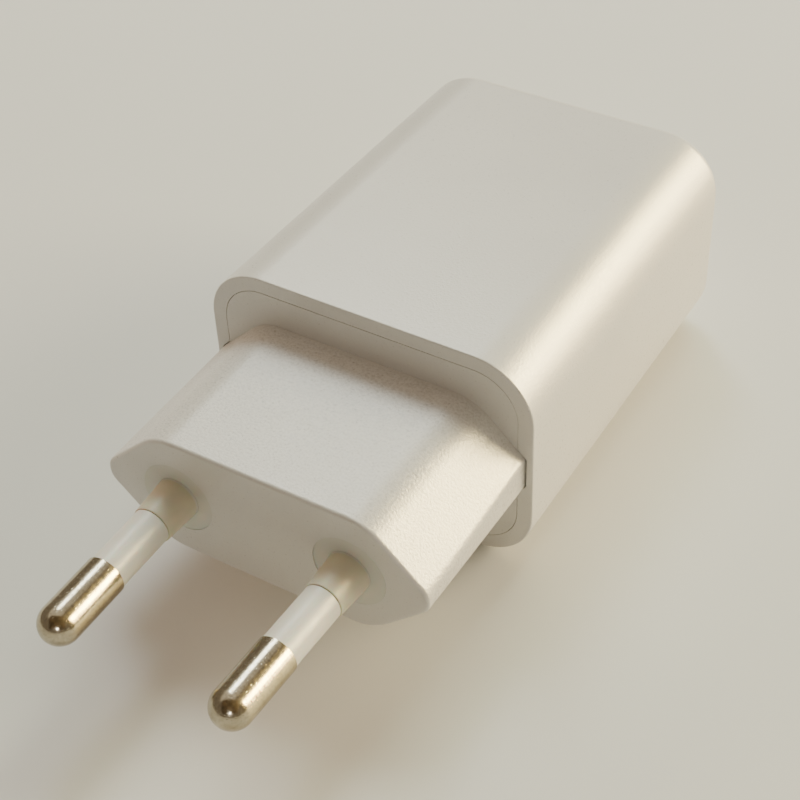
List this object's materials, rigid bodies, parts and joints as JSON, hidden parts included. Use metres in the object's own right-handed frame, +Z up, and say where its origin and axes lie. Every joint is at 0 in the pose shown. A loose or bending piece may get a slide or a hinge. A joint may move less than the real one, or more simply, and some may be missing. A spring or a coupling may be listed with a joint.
{
  "type": "usb wall charger",
  "caption": "Compact USB power adapter: rounded box case, hexagonal mains plug block with round pins at one end, USB-A port at the other, and its electronics inside.",
  "frame": {"origin": "on the surface that the charger lies on, under the middle of its bounding box, pins included", "axes": "+X across the width, +Y along the length from the pins to the USB port, +Z up from the broad face that it lies on"},
  "size_m": [0.0356, 0.0806, 0.024],
  "materials": {
    "white_case": "off-white moulded polycarbonate, fine spark-eroded satin grain",
    "nickel": "nickel plate on brass, fine turning lines, bright",
    "sleeve_plastic": "white moulded insulating sleeve, smooth satin",
    "bush_plastic": "ivory moulded plastic, smooth satin",
    "phosphor_bronze": "rolled phosphor bronze strip",
    "board": "glass-epoxy board with solder mask",
    "tinned_steel": "tin-plated pressed steel",
    "white_insulator": "white moulded insulator",
    "gilt_contact": "gold flash on copper alloy",
    "ferrite": "dark sintered ferrite",
    "bobbin_plastic": "black phenolic moulding",
    "enamelled_copper": "enamelled copper wire, close wound",
    "taped_copper": "copper winding under yellow polyester tape",
    "winding_tape": "yellow polyester tape",
    "capacitor_sleeve": "dark shrink sleeve on an aluminium can",
    "resistor_coating": "matt flameproof coating",
    "ceramic_blue": "blue epoxy dip",
    "epoxy_black": "black moulded package",
    "fish_paper": "pale vulcanised fibre sheet"
  },
  "bodies": {
    "charger_body": {"outer_shell": "white_case", "plug_cap": "white_case", "pin_left": "nickel", "pin_right": "nickel", "pin_sleeve_left": "sleeve_plastic", "pin_sleeve_right": "sleeve_plastic", "pin_bush_left": "bush_plastic", "pin_bush_right": "bush_plastic", "pin_contact_left": "phosphor_bronze", "pin_contact_right": "phosphor_bronze", "main_board": "board", "usb_shield": "tinned_steel", "usb_tongue": "white_insulator", "usb_contact_tail_1": "gilt_contact", "usb_contact_tail_2": "gilt_contact", "usb_contact_tail_3": "gilt_contact", "usb_contact_tail_4": "gilt_contact", "transformer_core_front": "ferrite", "transformer_core_rear": "ferrite", "transformer_bobbin": "bobbin_plastic", "transformer_primary_winding": "enamelled_copper", "transformer_secondary_winding": "taped_copper", "transformer_core_tape": "winding_tape", "bulk_capacitor_1": "capacitor_sleeve", "bulk_capacitor_2": "capacitor_sleeve", "output_capacitor_1": "capacitor_sleeve", "output_capacitor_2": "capacitor_sleeve", "fuse_resistor": "resistor_coating", "filter_inductor_core": "ferrite", "filter_inductor_winding": "enamelled_copper", "y_capacitor": "ceramic_blue", "bridge_rectifier": "epoxy_black", "controller_ic": "epoxy_black", "output_rectifier": "epoxy_black", "insulation_barrier": "fish_paper"},
    "contact_spring_1": {"usb_contact_1": "gilt_contact"},
    "contact_spring_2": {"usb_contact_2": "gilt_contact"},
    "contact_spring_3": {"usb_contact_3": "gilt_contact"},
    "contact_spring_4": {"usb_contact_4": "gilt_contact"}
  },
  "joints": [
    {"name": "contact_flex_1", "type": "hinge", "parent": "charger_body", "child": "contact_spring_1", "pos_m": [-0.0035, 0.02802, 0.01245], "axis": [1, 0, 0], "range_deg": [0, 3], "stiffness_Nm_per_rad": 0.12},
    {"name": "contact_flex_2", "type": "hinge", "parent": "charger_body", "child": "contact_spring_2", "pos_m": [-0.001, 0.02802, 0.01245], "axis": [1, 0, 0], "range_deg": [0, 3], "stiffness_Nm_per_rad": 0.12},
    {"name": "contact_flex_3", "type": "hinge", "parent": "charger_body", "child": "contact_spring_3", "pos_m": [0.001, 0.02802, 0.01245], "axis": [1, 0, 0], "range_deg": [0, 3], "stiffness_Nm_per_rad": 0.12},
    {"name": "contact_flex_4", "type": "hinge", "parent": "charger_body", "child": "contact_spring_4", "pos_m": [0.0035, 0.02802, 0.01245], "axis": [1, 0, 0], "range_deg": [0, 3], "stiffness_Nm_per_rad": 0.12}
  ]
}
